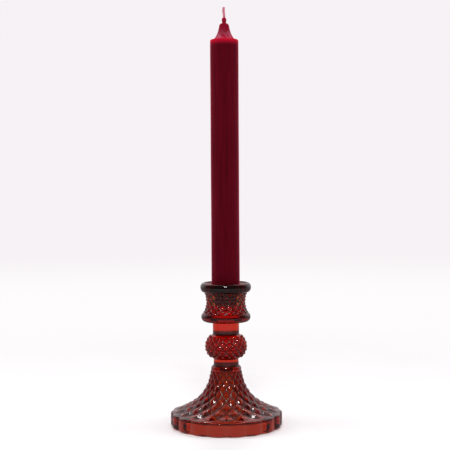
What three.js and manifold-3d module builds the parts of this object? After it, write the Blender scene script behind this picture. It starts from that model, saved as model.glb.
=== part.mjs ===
// Pressed ruby glass candlestick with diamond facets, and the dipped dinner candle that stands in it.
// Millimetres, +Z up. The origin is the centre of the foot, on the table. -Y is the front.

import * as THREE from 'three';
import { mergeVertices } from 'three/addons/utils/BufferGeometryUtils.js';
import Module from 'manifold-3d';

// Counts: every faceted zone has the same number of diamonds round as the foot has scallops.
const diamondsRound = 18;
const scallopSegments = 8;
const roundSegments = 54;
const cornerSteps = 4;

// Foot: a scalloped wall and a flared skirt, whose outline is one cubic curve with two inner controls
const baseRadius = 43.5;
const scallopDepth = 1.5;
const baseWallHeight = 11;
const baseEdgeRound = 2;
const skirtControlRadius = 20.6;
const skirtControlHeight = 19.5;
const stemControlRadius = 14.5;
const stemControlHeight = 28.5;
const footTopRadius = 12.2;
const footHeight = 43.9;
const footRows = 10;
const footRowShrink = 1.45;
const footReliefBase = 1.5;
const footReliefTop = 0.8;
const shoulderHeight = 3.6;

// Hollow under the foot: an upright wall inside the ring that the foot stands on, then a cone
const footRingWidth = 7.7;
const hollowWallHeight = 4.5;
const hollowCornerRound = 2;
const skirtWall = 6.5;
const stemWall = 6.3;
const hollowTipWall = 7.6;
const hollowTipDrop = 2;
const hollowTipHeight = 3;

// Necks and ball
const lowerNeckRadius = 9.7;
const lowerNeckLength = 5.7;
const ballRadius = 16.65;
const ballEndRadius = 12.1;
const ballHeight = 18.6;
const ballRows = 7;
const ballRelief = 1.1;
const upperNeckRadius = 10.25;
const upperNeckLength = 10.1;

// Cup: a bead, a faceted waist and a rim
const beadRadius = 19.2;
const beadHeight = 6.7;
const beadFootRadius = 16.2;
const waistBottomRadius = 18;
const waistRadius = 15.5;
const waistTopRadius = 17.3;
const waistHeight = 16.3;
const waistRows = 7;
const waistRelief = 0.9;
const rimRadius = 19.75;
const rimHeight = 7.1;
const rimBellyHeight = 3.9;
const rimCrestRadius = 17.3;
const rimDishDepth = 2.2;

// Candle and its socket
const candleRadius = 11;
const candleLength = 206.2;
const candleEdgeRound = 1.4;
const candleFootRound = 0.8;
const socketClearance = 0.35;
const socketDepth = 18;
const socketMouthRound = 0.9;
const tipFlareRadius = 8.2;
const tipNeckRadius = 4.5;
const tipHeight = 12.2;
const nubRadius = 1.9;
const nubHeight = 4.4;
const wickRadius = 0.75;
const wickFreeLength = 8.7;
const wickClearance = 0.3;

// Heights that the sizes above add up to
const neckBottom = footHeight + shoulderHeight;
const ballBottom = neckBottom + lowerNeckLength;
const ballTop = ballBottom + ballHeight;
const cupBottom = ballTop + upperNeckLength;
const waistBottom = cupBottom + beadHeight;
const rimBottom = waistBottom + waistHeight;
const rimCrest = rimBottom + rimHeight;
const socketFloor = rimCrest - socketDepth;
const socketMouth = rimCrest - rimDishDepth;
const candleShoulder = socketFloor + candleLength;
const tipTop = candleShoulder + tipHeight;
const nubTop = tipTop + nubHeight;
const wickTop = nubTop + wickFreeLength;

// Neighbouring zones of the glass run this far into each other before they are joined.
const joinDepth = 0.6;

const wasm = await Module();
wasm.setup();

function toSolid(geometry) {
  const bare = geometry.clone();
  bare.deleteAttribute('normal');
  bare.deleteAttribute('uv');
  const merged = mergeVertices(bare, 1e-4);
  return new wasm.Manifold(new wasm.Mesh({
    numProp: 3,
    vertProperties: new Float32Array(merged.attributes.position.array),
    triVerts: new Uint32Array(merged.index.array),
  }));
}

function toGeometry(solid) {
  const mesh = solid.getMesh();
  const geometry = new THREE.BufferGeometry();
  geometry.setAttribute('position', new THREE.BufferAttribute(new Float32Array(mesh.vertProperties), 3));
  geometry.setIndex(new THREE.BufferAttribute(new Uint32Array(mesh.triVerts), 1));
  return geometry;
}

// A point of a profile: distance from the axis, then height.
function at(radius, height) {
  return new THREE.Vector2(radius, height);
}

// A revolved geometry. The profile climbs, and starts and ends on the axis or closes on itself.
function revolve(profile) {
  return new THREE.LatheGeometry(profile, roundSegments).rotateX(Math.PI / 2);
}

// A quarter of an ellipse between two profile points, which leaves the first along the radius or upward.
function roundCorner(from, to, leavesAlongRadius) {
  const points = [];
  for (let step = 0; step <= cornerSteps; step++) {
    const angle = (step / cornerSteps) * (Math.PI / 2);
    const early = Math.sin(angle);
    const late = 1 - Math.cos(angle);
    const across = leavesAlongRadius ? early : late;
    const up = leavesAlongRadius ? late : early;
    points.push(at(from.x + (to.x - from.x) * across, from.y + (to.y - from.y) * up));
  }
  return points;
}

// One level of a faceted zone. Columns alternate between the crest of a diamond and the crossing of
// two grooves, which lies in from the profile along its normal. Column 0 is the front.
function facetRing(curve, share, relief, crestsOnOddColumns) {
  const crest = curve.getPointAt(share);
  const tangent = curve.getTangentAt(share);
  const groove = at(crest.x - tangent.y * relief, crest.y + tangent.x * relief);
  const points = [];
  for (let column = 0; column < diamondsRound * 2; column++) {
    const isCrest = (column % 2 === 1) === crestsOnOddColumns;
    const place = isCrest ? crest : groove;
    const angle = (column / diamondsRound) * Math.PI - Math.PI / 2;
    points.push(new THREE.Vector3(place.x * Math.cos(angle), place.x * Math.sin(angle), place.y));
  }
  return { points, grooveParity: crestsOnOddColumns ? 0 : 1 };
}

// A round level with the same columns as a faceted one.
function plainRing(radius, height) {
  const points = [];
  for (let column = 0; column < diamondsRound * 2; column++) {
    const angle = (column / diamondsRound) * Math.PI - Math.PI / 2;
    points.push(new THREE.Vector3(radius * Math.cos(angle), radius * Math.sin(angle), height));
  }
  return { points };
}

// A level of the scalloped wall, drawn in by inset. The lobes are arcs that meet in a notch at the front.
function scallopRing(inset, height) {
  const halfPitch = Math.PI / diamondsRound;
  const notchRadius = baseRadius - scallopDepth;
  const halfChord = notchRadius * Math.sin(halfPitch);
  const bulge = baseRadius - notchRadius * Math.cos(halfPitch);
  const lobeRadius = (halfChord ** 2 + bulge ** 2) / (2 * bulge);
  const lobeCentre = baseRadius - lobeRadius;
  const halfSweep = Math.asin(halfChord / lobeRadius);
  const points = [];
  for (let lobe = 0; lobe < diamondsRound; lobe++) {
    const middle = (lobe * 2 + 1) * halfPitch - Math.PI / 2;
    for (let step = 0; step < scallopSegments; step++) {
      const turn = middle + halfSweep * ((2 * step) / scallopSegments - 1);
      const x = lobeCentre * Math.cos(middle) + lobeRadius * Math.cos(turn);
      const y = lobeCentre * Math.sin(middle) + lobeRadius * Math.sin(turn);
      const drawnIn = 1 - inset / Math.hypot(x, y);
      points.push(new THREE.Vector3(x * drawnIn, y * drawnIn, height));
    }
  }
  return { points, grooveParity: 0 };
}

// Triangles between two neighbouring rings, sector by sector. In each the diagonal runs from groove to
// groove, and a ring with more points than its neighbour opens into fans.
function joinRings(index, low, high) {
  const sectors = Math.min(low.points.length, high.points.length);
  const lowSteps = low.points.length / sectors;
  const highSteps = high.points.length / sectors;
  for (let sector = 0; sector < sectors; sector++) {
    const lowAt = (step) => low.start + ((sector * lowSteps + step) % low.points.length);
    const highAt = (step) => high.start + ((sector * highSteps + step) % high.points.length);
    const parity = sector % 2;
    const lowStarts = parity === low.grooveParity;
    const highStarts = parity === high.grooveParity;
    const startsInGroove = low.grooveParity === undefined ? !highStarts : lowStarts;
    const lowPivot = startsInGroove ? lowAt(0) : lowAt(lowSteps);
    const highPivot = startsInGroove ? highAt(highSteps) : highAt(0);
    for (let step = 0; step < lowSteps; step++) {
      index.push(lowAt(step), lowAt(step + 1), highPivot);
    }
    for (let step = 0; step < highSteps; step++) {
      index.push(lowPivot, highAt(step + 1), highAt(step));
    }
  }
}

// A solid from rings of points, low to high, with a flat fan over each end.
function stackRings(rings) {
  const positions = [];
  const index = [];
  for (const ring of rings) {
    ring.start = positions.length / 3;
    for (const point of ring.points) {
      positions.push(point.x, point.y, point.z);
    }
  }
  for (let level = 1; level < rings.length; level++) {
    joinRings(index, rings[level - 1], rings[level]);
  }
  const bottom = rings[0];
  const top = rings[rings.length - 1];
  const bottomCentre = positions.length / 3;
  const topCentre = bottomCentre + 1;
  positions.push(0, 0, bottom.points[0].z, 0, 0, top.points[0].z);
  bottom.points.forEach((point, i) => {
    index.push(bottomCentre, bottom.start + ((i + 1) % bottom.points.length), bottom.start + i);
  });
  top.points.forEach((point, i) => {
    index.push(topCentre, top.start + i, top.start + ((i + 1) % top.points.length));
  });
  const geometry = new THREE.BufferGeometry();
  geometry.setAttribute('position', new THREE.Float32BufferAttribute(positions, 3));
  geometry.setIndex(index);
  return toSolid(geometry);
}

// The foot's outline from the top of the wall to the shoulder, and the hollow's inside it.
const footCurve = new THREE.CubicBezierCurve(
  at(baseRadius - baseEdgeRound, baseWallHeight),
  at(skirtControlRadius, skirtControlHeight),
  at(stemControlRadius, stemControlHeight),
  at(footTopRadius, footHeight),
);
const hollowCurve = new THREE.CubicBezierCurve(
  at(baseRadius - footRingWidth - hollowCornerRound, hollowWallHeight + hollowCornerRound),
  at(skirtControlRadius, skirtControlHeight - skirtWall),
  at(stemControlRadius - stemWall, stemControlHeight - stemWall),
  at(footTopRadius - hollowTipWall, footHeight - hollowTipDrop),
);

// The foot: scalloped wall, a petal over each scallop, and rows of diamonds that shrink as they climb.
function makeFoot() {
  const softening = baseEdgeRound * 0.3;
  const rings = [
    scallopRing(baseEdgeRound, 0),
    scallopRing(softening, softening),
    scallopRing(0, baseEdgeRound),
    scallopRing(0, baseWallHeight - baseEdgeRound),
    scallopRing(softening, baseWallHeight - softening),
    scallopRing(baseEdgeRound, baseWallHeight),
  ];
  for (let row = 1; row < footRows; row++) {
    const share = 1 - (1 - row / footRows) ** footRowShrink;
    const relief = footReliefBase + (footReliefTop - footReliefBase) * share;
    rings.push(facetRing(footCurve, share, relief, row % 2 === 0));
  }
  rings.push(plainRing(footTopRadius - footReliefTop, footHeight));
  rings.push(plainRing(footTopRadius - footReliefTop, footHeight + joinDepth));
  return stackRings(rings);
}

// The smooth shoulder over the diamonds and the lower neck.
function makeLowerNeck() {
  const shoulderEdge = footTopRadius - footReliefTop / 2;
  return toSolid(revolve([
    at(0, footHeight),
    at(shoulderEdge, footHeight),
    ...roundCorner(at(shoulderEdge, footHeight + joinDepth), at(lowerNeckRadius, neckBottom), false),
    at(lowerNeckRadius, ballBottom + joinDepth),
    at(0, ballBottom + joinDepth),
  ]));
}

// The ball: an arc flattened top and bottom, with the middle row of diamonds facing the front.
function makeBall() {
  const halfHeight = ballHeight / 2;
  const bulge = ballRadius - ballEndRadius;
  const arcRadius = (halfHeight ** 2 + bulge ** 2) / (2 * bulge);
  const sweep = Math.asin(halfHeight / arcRadius);
  const centreHeight = ballBottom + halfHeight;
  const curve = new THREE.ArcCurve(ballRadius - arcRadius, centreHeight, arcRadius, -sweep, sweep, false);
  const rings = [plainRing(ballEndRadius - ballRelief, ballBottom)];
  const middleRow = (ballRows - 1) / 2;
  for (let row = 0; row < ballRows; row++) {
    const crestsOnOddColumns = Math.abs(row - middleRow) % 2 === 1;
    rings.push(facetRing(curve, (row + 0.5) / ballRows, ballRelief, crestsOnOddColumns));
  }
  rings.push(plainRing(ballEndRadius - ballRelief, ballTop));
  return stackRings(rings);
}

function makeUpperNeck() {
  return toSolid(revolve([
    at(0, ballTop - joinDepth),
    at(upperNeckRadius, ballTop - joinDepth),
    at(upperNeckRadius, cupBottom + joinDepth),
    at(0, cupBottom + joinDepth),
  ]));
}

// The bead round the bottom of the cup.
function makeBead() {
  const belly = at(beadRadius, cupBottom + beadHeight * 0.55);
  return toSolid(revolve([
    at(0, cupBottom),
    ...roundCorner(at(beadFootRadius, cupBottom), belly, true),
    ...roundCorner(belly, at(waistBottomRadius - waistRelief, waistBottom), false),
    at(0, waistBottom),
  ]));
}

// The waisted band of diamonds between bead and rim.
function makeWaist() {
  const controlRadius = (8 * waistRadius - waistBottomRadius - waistTopRadius) / 6;
  const curve = new THREE.CubicBezierCurve(
    at(waistBottomRadius, waistBottom),
    at(controlRadius, waistBottom + waistHeight / 3),
    at(controlRadius, waistBottom + (waistHeight * 2) / 3),
    at(waistTopRadius, rimBottom),
  );
  const rings = [
    plainRing(waistBottomRadius - waistRelief, waistBottom - joinDepth),
    plainRing(waistBottomRadius - waistRelief, waistBottom),
  ];
  for (let row = 0; row < waistRows; row++) {
    rings.push(facetRing(curve, (row + 0.35) / waistRows, waistRelief, row % 2 === 0));
  }
  rings.push(plainRing(waistTopRadius, rimBottom));
  rings.push(plainRing(waistTopRadius, rimBottom + joinDepth));
  return stackRings(rings);
}

// The rounded rim, dished down to the mouth of the socket.
function makeRim() {
  const belly = at(rimRadius, rimBottom + rimBellyHeight);
  const mouthRadius = candleRadius + socketClearance;
  return toSolid(revolve([
    at(0, rimBottom),
    at(waistTopRadius - waistRelief, rimBottom),
    ...roundCorner(at(waistTopRadius, rimBottom), belly, true),
    ...roundCorner(belly, at(rimCrestRadius, rimCrest), false),
    ...roundCorner(at(mouthRadius, socketMouth), at(rimCrestRadius, rimCrest), true).reverse(),
    at(0, socketMouth),
  ]));
}

function makeSocketCutter() {
  const radius = candleRadius + socketClearance;
  return toSolid(revolve([
    at(0, socketFloor),
    at(radius, socketFloor),
    at(radius, socketMouth - socketMouthRound),
    at(radius + socketMouthRound, socketMouth + joinDepth),
    at(0, socketMouth + joinDepth),
  ]));
}

// The hollow climbs its upright wall, runs up into the stem and ends in a rounded tip.
function makeHollowCutter() {
  const wallRadius = baseRadius - footRingWidth;
  const tip = hollowCurve.v3;
  const side = hollowCurve.getPoints(10).slice(1, -1);
  return toSolid(revolve([
    at(0, -joinDepth),
    at(wallRadius, -joinDepth),
    ...roundCorner(at(wallRadius, hollowWallHeight), hollowCurve.v0, false),
    ...side,
    ...roundCorner(tip, at(0, tip.y + hollowTipHeight), false),
  ]));
}

function makeGlass() {
  return makeFoot()
    .add(makeLowerNeck())
    .add(makeBall())
    .add(makeUpperNeck())
    .add(makeBead())
    .add(makeWaist())
    .add(makeRim())
    .subtract(makeSocketCutter())
    .subtract(makeHollowCutter());
}

// The candle: a straight shaft, a rounded shoulder, a drawn tip and the wax nub that clings to the wick.
function makeWax() {
  const bore = wickRadius + wickClearance;
  const flare = new THREE.CubicBezierCurve(
    at(tipFlareRadius, candleShoulder),
    at(tipNeckRadius + 0.6, candleShoulder + tipHeight * 0.3),
    at(tipNeckRadius, candleShoulder + tipHeight * 0.6),
    at(tipNeckRadius - 0.9, tipTop - 1.4),
  );
  const flarePoints = flare.getPoints(7);
  const footEdge = at(candleRadius - candleFootRound, socketFloor);
  return revolve([
    at(bore, socketFloor),
    ...roundCorner(footEdge, at(candleRadius, socketFloor + candleFootRound), true),
    ...roundCorner(
      at(candleRadius, candleShoulder - candleEdgeRound),
      at(candleRadius - candleEdgeRound, candleShoulder),
      false,
    ),
    ...flarePoints,
    ...roundCorner(flarePoints[flarePoints.length - 1], at(nubRadius, tipTop), false).slice(1),
    at(nubRadius, tipTop + nubHeight * 0.35),
    ...roundCorner(at(nubRadius * 0.85, nubTop - 1), at(bore, nubTop), false),
    at(bore, socketFloor),
  ]);
}

// The wick runs from the foot of the candle to its free, slightly narrowed end.
function makeWick() {
  return revolve([
    at(0, socketFloor),
    at(wickRadius, socketFloor),
    at(wickRadius, wickTop - wickRadius),
    at(wickRadius * 0.55, wickTop),
    at(0, wickTop),
  ]);
}

function addPiece(parent, name, geometry, material) {
  const piece = new THREE.Mesh(geometry, material);
  piece.name = name;
  parent.add(piece);
}

const rubyGlass = new THREE.MeshStandardMaterial({ color: 0x9e1b1a, roughness: 0.05, metalness: 0 });
const burgundyWax = new THREE.MeshStandardMaterial({ color: 0x6a0d1c, roughness: 0.45, metalness: 0 });
const waxedCotton = new THREE.MeshStandardMaterial({ color: 0xc8506a, roughness: 0.8, metalness: 0 });

const candlestick = new THREE.Group();
addPiece(candlestick, 'glass_candlestick', toGeometry(makeGlass()), rubyGlass);
const candle = new THREE.Group();
addPiece(candle, 'candle_wax', makeWax(), burgundyWax);
addPiece(candle, 'candle_wick', makeWick(), waxedCotton);
candlestick.add(candle);

export default candlestick;
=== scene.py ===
"""Looks for the pressed ruby glass candlestick and its dinner candle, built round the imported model."""

import logging
import math
from dataclasses import dataclass, field
from enum import Enum
from typing import Any, Optional, Sequence

import bpy
import numpy as np
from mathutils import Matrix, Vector


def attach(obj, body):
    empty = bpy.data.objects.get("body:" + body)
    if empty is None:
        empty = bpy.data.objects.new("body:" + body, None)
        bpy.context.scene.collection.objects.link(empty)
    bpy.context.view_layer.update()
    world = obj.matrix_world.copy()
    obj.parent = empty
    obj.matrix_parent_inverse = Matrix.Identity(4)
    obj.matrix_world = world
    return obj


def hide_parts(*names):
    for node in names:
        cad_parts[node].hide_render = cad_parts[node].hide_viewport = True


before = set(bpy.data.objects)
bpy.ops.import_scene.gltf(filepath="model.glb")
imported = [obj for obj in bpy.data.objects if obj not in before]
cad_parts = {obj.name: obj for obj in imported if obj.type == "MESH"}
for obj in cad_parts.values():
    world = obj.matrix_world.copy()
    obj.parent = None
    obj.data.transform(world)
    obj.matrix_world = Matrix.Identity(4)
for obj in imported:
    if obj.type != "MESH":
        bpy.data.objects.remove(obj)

LOG = logging.getLogger("candlestick")
MM = 0.001
UP = np.array([0.0, 0.0, 1.0])
GROOVE = "groove"
PAINTED_SHADE = "thick"
WHITE = "ffffff"
SMOOTH = "SMOOTHSTEP"

Tree = bpy.types.NodeTree
Socket = bpy.types.NodeSocket
Colour = tuple[float, float, float, float]
Point = Sequence[float]

# Where a value starts and ends, and the results there.
Stretch = tuple[float, float, float, float]


class Leaves(Enum):
    """The direction in which a rounded corner leaves its first point."""

    OUTWARD = "along the radius"
    UPWARD = "upward"


def linear(hex_colour: str) -> Colour:
    """Turns an sRGB hex colour into linear RGBA.

    Args:
        hex_colour: six hex digits, such as "9e1b1a".

    Returns:
        Linear red, green and blue, and an alpha of 1.
    """
    channels = []
    for start in (0, 2, 4):
        value = int(hex_colour[start : start + 2], 16) / 255
        channels.append(value / 12.92 if value <= 0.04045 else ((value + 0.055) / 1.055) ** 2.4)
    return (channels[0], channels[1], channels[2], 1.0)


def add_node(
    tree: Tree, kind: str, inputs: Optional[dict[Any, Any]] = None, **settings: Any
) -> bpy.types.Node:
    """Adds a shader node with its settings and links.

    Args:
        tree: the node tree that gets the node.
        kind: the node's type without "ShaderNode".
        inputs: values, or sockets to link, by the input's name or number.
        settings: attributes of the node.

    Returns:
        The new node.
    """
    node = tree.nodes.new("ShaderNode" + kind)
    for name, value in settings.items():
        setattr(node, name, value)
    for key, value in (inputs or {}).items():
        if isinstance(value, Socket):
            tree.links.new(value, node.inputs[key])
        else:
            node.inputs[key].default_value = value
    return node


def limits(value: Socket, start: float, end: float, low: float = 0.0, high: float = 1.0) -> dict[str, Any]:
    """Inputs of a node that maps a value from start and end to low and high, and holds the ends."""
    return {"Value": value, "From Min": start, "From Max": end, "To Min": low, "To Max": high}


def set_stops(ramp: bpy.types.Node, stops: Sequence[tuple[float, str]]) -> None:
    """Gives a colour ramp its stops.

    Args:
        ramp: a colour ramp node.
        stops: position and sRGB hex colour of each stop, at least two.
    """
    elements = ramp.color_ramp.elements
    while len(elements) < len(stops):
        elements.new(1.0)
    for element, (position, colour) in zip(elements, stops):
        element.position = position
        element.color = linear(colour)


def glass_rays(tree: Tree) -> tuple[Socket, Socket]:
    """Tells what the glass shows from what lights the matt surfaces.

    Args:
        tree: the node tree that gets the nodes.

    Returns:
        A socket that is 1 where the glass mirrors or passes a ray, and one that is 1 where it passes it.
    """
    path = add_node(tree, "LightPath").outputs
    kinds = {0: path["Is Glossy Ray"], 1: path["Is Transmission Ray"]}
    either = add_node(tree, "Math", kinds, operation="MAXIMUM").outputs["Value"]
    direct = add_node(tree, "Math", {0: path["Diffuse Depth"], 1: 0.5}, operation="LESS_THAN")
    shares = {0: either, 1: direct.outputs["Value"]}
    in_glass = add_node(tree, "Math", shares, operation="MULTIPLY").outputs["Value"]
    return in_glass, path["Is Transmission Ray"]


def new_material(name: str) -> tuple[bpy.types.Material, Tree, Socket]:
    """Makes an empty node material.

    Args:
        name: the material's name.

    Returns:
        The material, its node tree, and the place on the object, in its own coordinates in metres.
    """
    material = bpy.data.materials.new(name)
    material.use_nodes = True
    tree = material.node_tree
    tree.nodes.clear()
    return material, tree, add_node(tree, "TexCoord").outputs["Object"]


def rounded(start: Point, end: Point, leaves: Leaves, steps: int) -> np.ndarray:
    """A quarter of an ellipse between two profile points.

    Args:
        start: radius and height of the first point.
        end: radius and height of the last point.
        leaves: how the curve leaves the first point.
        steps: number of stretches.

    Returns:
        Points of the curve, both ends among them.
    """
    angle = np.linspace(0, math.pi / 2, steps + 1)
    early, late = np.sin(angle), 1 - np.cos(angle)
    across, up = (early, late) if leaves is Leaves.OUTWARD else (late, early)
    span = np.subtract(end, start)
    return np.stack([start[0] + span[0] * across, start[1] + span[1] * up], axis=1)


def straight(start: Point, end: Point, steps: int) -> np.ndarray:
    """Evenly spaced points from start to end, both among them."""
    return np.linspace(start, end, steps + 1)


def cubic(controls: Sequence[Point], steps: int) -> np.ndarray:
    """A cubic curve.

    Args:
        controls: its four control points.
        steps: number of stretches.

    Returns:
        Points of the curve, both ends among them.
    """
    p0, p1, p2, p3 = (np.asarray(point, float) for point in controls)
    t = np.linspace(0, 1, steps + 1)[:, None]
    return (1 - t) ** 3 * p0 + 3 * t * (1 - t) ** 2 * p1 + 3 * t**2 * (1 - t) * p2 + t**3 * p3


def circle(count: int) -> np.ndarray:
    """Points round a unit circle, count x 3."""
    angle = np.linspace(0, 2 * math.pi, count, endpoint=False)
    return np.stack([np.cos(angle), np.sin(angle), 0 * angle], -1)


def fold(value: np.ndarray) -> np.ndarray:
    """Distance from the nearest even number, 0 to 1."""
    return np.abs((value + 1) % 2 - 1)


def band_faces(low: np.ndarray, high: np.ndarray, leans: Any = False) -> np.ndarray:
    """Triangles between rings of points.

    Args:
        low: levels x columns of point numbers.
        high: the numbers of the points one level further.
        leans: True for each cell, above and right of a point, whose diagonal leans back.

    Returns:
        Triangles of point numbers.
    """
    right, across = np.roll(low, -1, axis=1), np.roll(high, -1, axis=1)
    lean = np.broadcast_to(leans, low.shape)[..., None]
    first = np.where(lean, np.stack([low, right, high], -1), np.stack([low, right, across], -1))
    second = np.where(lean, np.stack([right, across, high], -1), np.stack([low, across, high], -1))
    return np.concatenate([first.reshape(-1, 3), second.reshape(-1, 3)])


def fan_faces(ring: np.ndarray, centre: int) -> np.ndarray:
    """Triangles between a ring of point numbers and a centre point."""
    return np.stack([np.full(len(ring), centre), ring, np.roll(ring, -1)], -1)


def skin(rings: np.ndarray, leans: Any = False, closes: bool = False) -> tuple[np.ndarray, np.ndarray]:
    """Joins rings of points into a closed skin that faces outwards.

    Args:
        rings: levels x columns x 3, in millimetres.
        leans: True for each cell, above and right of a point, whose diagonal leans back.
        closes: True if the last level joins the first, False if each end closes in a centre point.

    Returns:
        Points and triangles.
    """
    levels, columns = rings.shape[:2]
    points = rings.reshape(-1, 3)
    number = np.arange(levels * columns).reshape(levels, columns)
    if closes:
        triangles = band_faces(number, np.roll(number, -1, axis=0), leans)
    else:
        points = np.concatenate([points, [rings[0].mean(axis=0), rings[-1].mean(axis=0)]])
        bottom = fan_faces(number[0], number.size)[:, ::-1]
        top = fan_faces(number[-1], number.size + 1)
        triangles = np.concatenate([band_faces(number[:-1], number[1:], leans), bottom, top])
    spots = points[triangles]
    volume = np.einsum("ij,ij->i", spots[:, 0], np.cross(spots[:, 1], spots[:, 2])).sum()
    return points, triangles if volume > 0 else triangles[:, ::-1]


def mesh_object(name: str, points: np.ndarray, triangles: np.ndarray) -> bpy.types.Object:
    """Makes a smooth-shaded object in the scene.

    Args:
        name: the object's name.
        points: n x 3, in millimetres.
        triangles: m x 3 point numbers.

    Returns:
        The object.
    """
    mesh = bpy.data.meshes.new(name)
    mesh.from_pydata((points * MM).tolist(), [], triangles.tolist())
    mesh.validate()
    mesh.shade_smooth()
    piece = bpy.data.objects.new(name, mesh)
    bpy.context.scene.collection.objects.link(piece)
    return piece


@dataclass(frozen=True)
class RubyPressedGlass:
    """Ruby soda-lime glass, pressed hot into an iron mould and fire-polished.

    Pressing chills the skin, which leaves shallow ripples, and the flame afterwards makes it glossy. It
    hardly reaches the bottoms of the grooves, which stay duller, and a dark tint paints shade into them.
    The colour is in the glass itself, so thin places are orange red, and rim, bead and joints are painted
    with shade that makes them nearly black.
    """

    ior: float = 1.52
    absorbing_hex: str = "fdb400"
    density_per_m: float = 350.0
    ripple_mm: float = 3.0
    ripple_strength: float = 0.15
    ripple_depth_mm: float = 0.3
    roughness: Stretch = (0.0, 1.0, 0.0, 0.35)
    # Dark tints that paint shade: into the grooves, and into rim, bead and joints.
    groove_shade_hex: str = "14090c"
    thick_hex: str = "240c12"

    def build(self) -> bpy.types.Material:
        """Builds the glass.

        Returns:
            The material.
        """
        material, tree, place = new_material("ruby_pressed_glass")
        groove = add_node(tree, "Attribute", attribute_name=GROOVE).outputs["Fac"]
        thick = add_node(tree, "Attribute", attribute_name=PAINTED_SHADE).outputs["Fac"]
        # Painted shade: a dark tint where the glass should look nearly black.
        shades = {0: thick, 6: linear(WHITE), 7: linear(self.thick_hex)}
        deep = add_node(tree, "Mix", shades, data_type="RGBA").outputs[2]
        # Painted shade: a dark tint in the grooves, over their dull skin.
        tints = {0: groove, 6: deep, 7: linear(self.groove_shade_hex)}
        ripples = {"Vector": place, "Scale": 1 / (self.ripple_mm * MM), "Detail": 2.0, "Roughness": 0.4}
        relief = {
            "Strength": self.ripple_strength,
            "Distance": self.ripple_depth_mm * MM,
            "Height": add_node(tree, "TexNoise", ripples).outputs["Fac"],
        }
        values = {
            "Base Color": add_node(tree, "Mix", tints, data_type="RGBA").outputs[2],
            "Roughness": add_node(tree, "MapRange", limits(groove, *self.roughness)).outputs["Result"],
            "IOR": self.ior,
            "Transmission Weight": 1.0,
            "Normal": add_node(tree, "Bump", relief).outputs["Normal"],
        }
        glass = add_node(tree, "BsdfPrincipled", values)
        body_tint = {"Color": linear(self.absorbing_hex), "Density": self.density_per_m}
        body = add_node(tree, "VolumeAbsorption", body_tint)
        ends = {"Surface": glass.outputs["BSDF"], "Volume": body.outputs["Volume"]}
        add_node(tree, "OutputMaterial", ends)
        return material


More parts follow.
